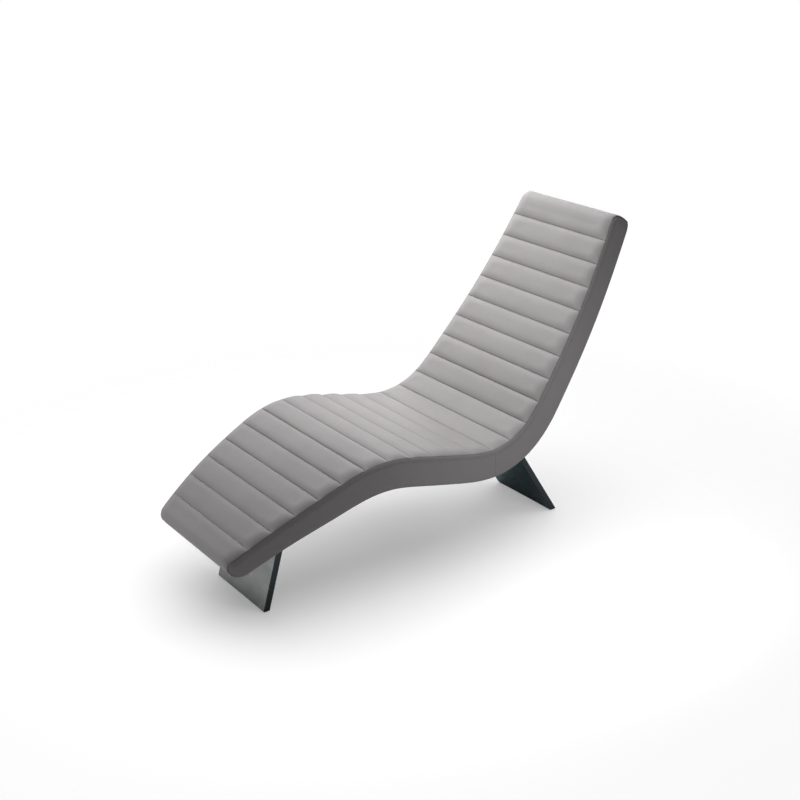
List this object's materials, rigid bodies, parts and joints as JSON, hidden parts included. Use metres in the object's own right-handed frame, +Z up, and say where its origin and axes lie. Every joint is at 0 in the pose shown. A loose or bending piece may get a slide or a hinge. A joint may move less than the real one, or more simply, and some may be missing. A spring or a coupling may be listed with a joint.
{
  "type": "chaise longue",
  "caption": "Fixed S-curved chaise longue: a thin slab in channel-quilted leather over a bent steel frame, standing on outward-leaning plate legs.",
  "frame": {"origin": "on the floor, under the middle of the chaise's overall length and width", "axes": "+Z up, +Y towards the head end, +X to the left of a person lying on it"},
  "size_m": [0.618, 1.4964, 1.0218],
  "materials": {
    "quilted_leather": "taupe-grey grained leather over wadding, sewn in cross channels",
    "plain_leather": "taupe-grey grained leather, plain, topstitched along the edge seam",
    "soft_foam": "open-cell polyurethane foam, soft",
    "firm_foam": "open-cell polyurethane foam, firm",
    "webbing": "woven elastic webbing",
    "frame_steel": "black powder coat",
    "leg_metal": "dark polished plating on welded sheet steel",
    "bolt_steel": "black oxide",
    "floor_felt": "pressed felt"
  },
  "bodies": {
    "root": {"cross_tube_back": "frame_steel", "cross_tube_foot": "frame_steel", "cross_tube_head": "frame_steel", "cross_tube_knee": "frame_steel", "cross_tube_lumbar": "frame_steel", "cross_tube_seat": "frame_steel", "cross_tube_shin": "frame_steel", "elastic_strap_01": "webbing", "elastic_strap_02": "webbing", "elastic_strap_03": "webbing", "elastic_strap_04": "webbing", "elastic_strap_05": "webbing", "elastic_strap_06": "webbing", "elastic_strap_07": "webbing", "elastic_strap_08": "webbing", "elastic_strap_09": "webbing", "elastic_strap_10": "webbing", "elastic_strap_11": "webbing", "elastic_strap_12": "webbing", "elastic_strap_13": "webbing", "elastic_strap_14": "webbing", "floor_strip_front": "floor_felt", "floor_strip_rear": "floor_felt", "leg_bolt_front_1": "bolt_steel", "leg_bolt_front_2": "bolt_steel", "leg_bolt_front_3": "bolt_steel", "leg_bolt_front_4": "bolt_steel", "leg_bolt_rear_1": "bolt_steel", "leg_bolt_rear_2": "bolt_steel", "leg_bolt_rear_3": "bolt_steel", "leg_bolt_rear_4": "bolt_steel", "leg_bracket_front": "frame_steel", "leg_bracket_rear": "frame_steel", "leg_flange_front": "leg_metal", "leg_flange_rear": "leg_metal", "leg_plate_front": "leg_metal", "leg_plate_rear": "leg_metal", "lower_foam_back": "firm_foam", "lower_foam_seat": "firm_foam", "lower_foam_shin": "firm_foam", "quilted_cover": "quilted_leather", "side_band_back_left": "plain_leather", "side_band_back_right": "plain_leather", "side_band_seat_left": "plain_leather", "side_band_seat_right": "plain_leather", "side_padding_left": "soft_foam", "side_padding_right": "soft_foam", "side_rail_left": "frame_steel", "side_rail_right": "frame_steel", "underside_cover": "plain_leather", "upper_foam_back": "soft_foam", "upper_foam_seat": "soft_foam", "upper_foam_shin": "soft_foam"}
  },
  "joints": []
}
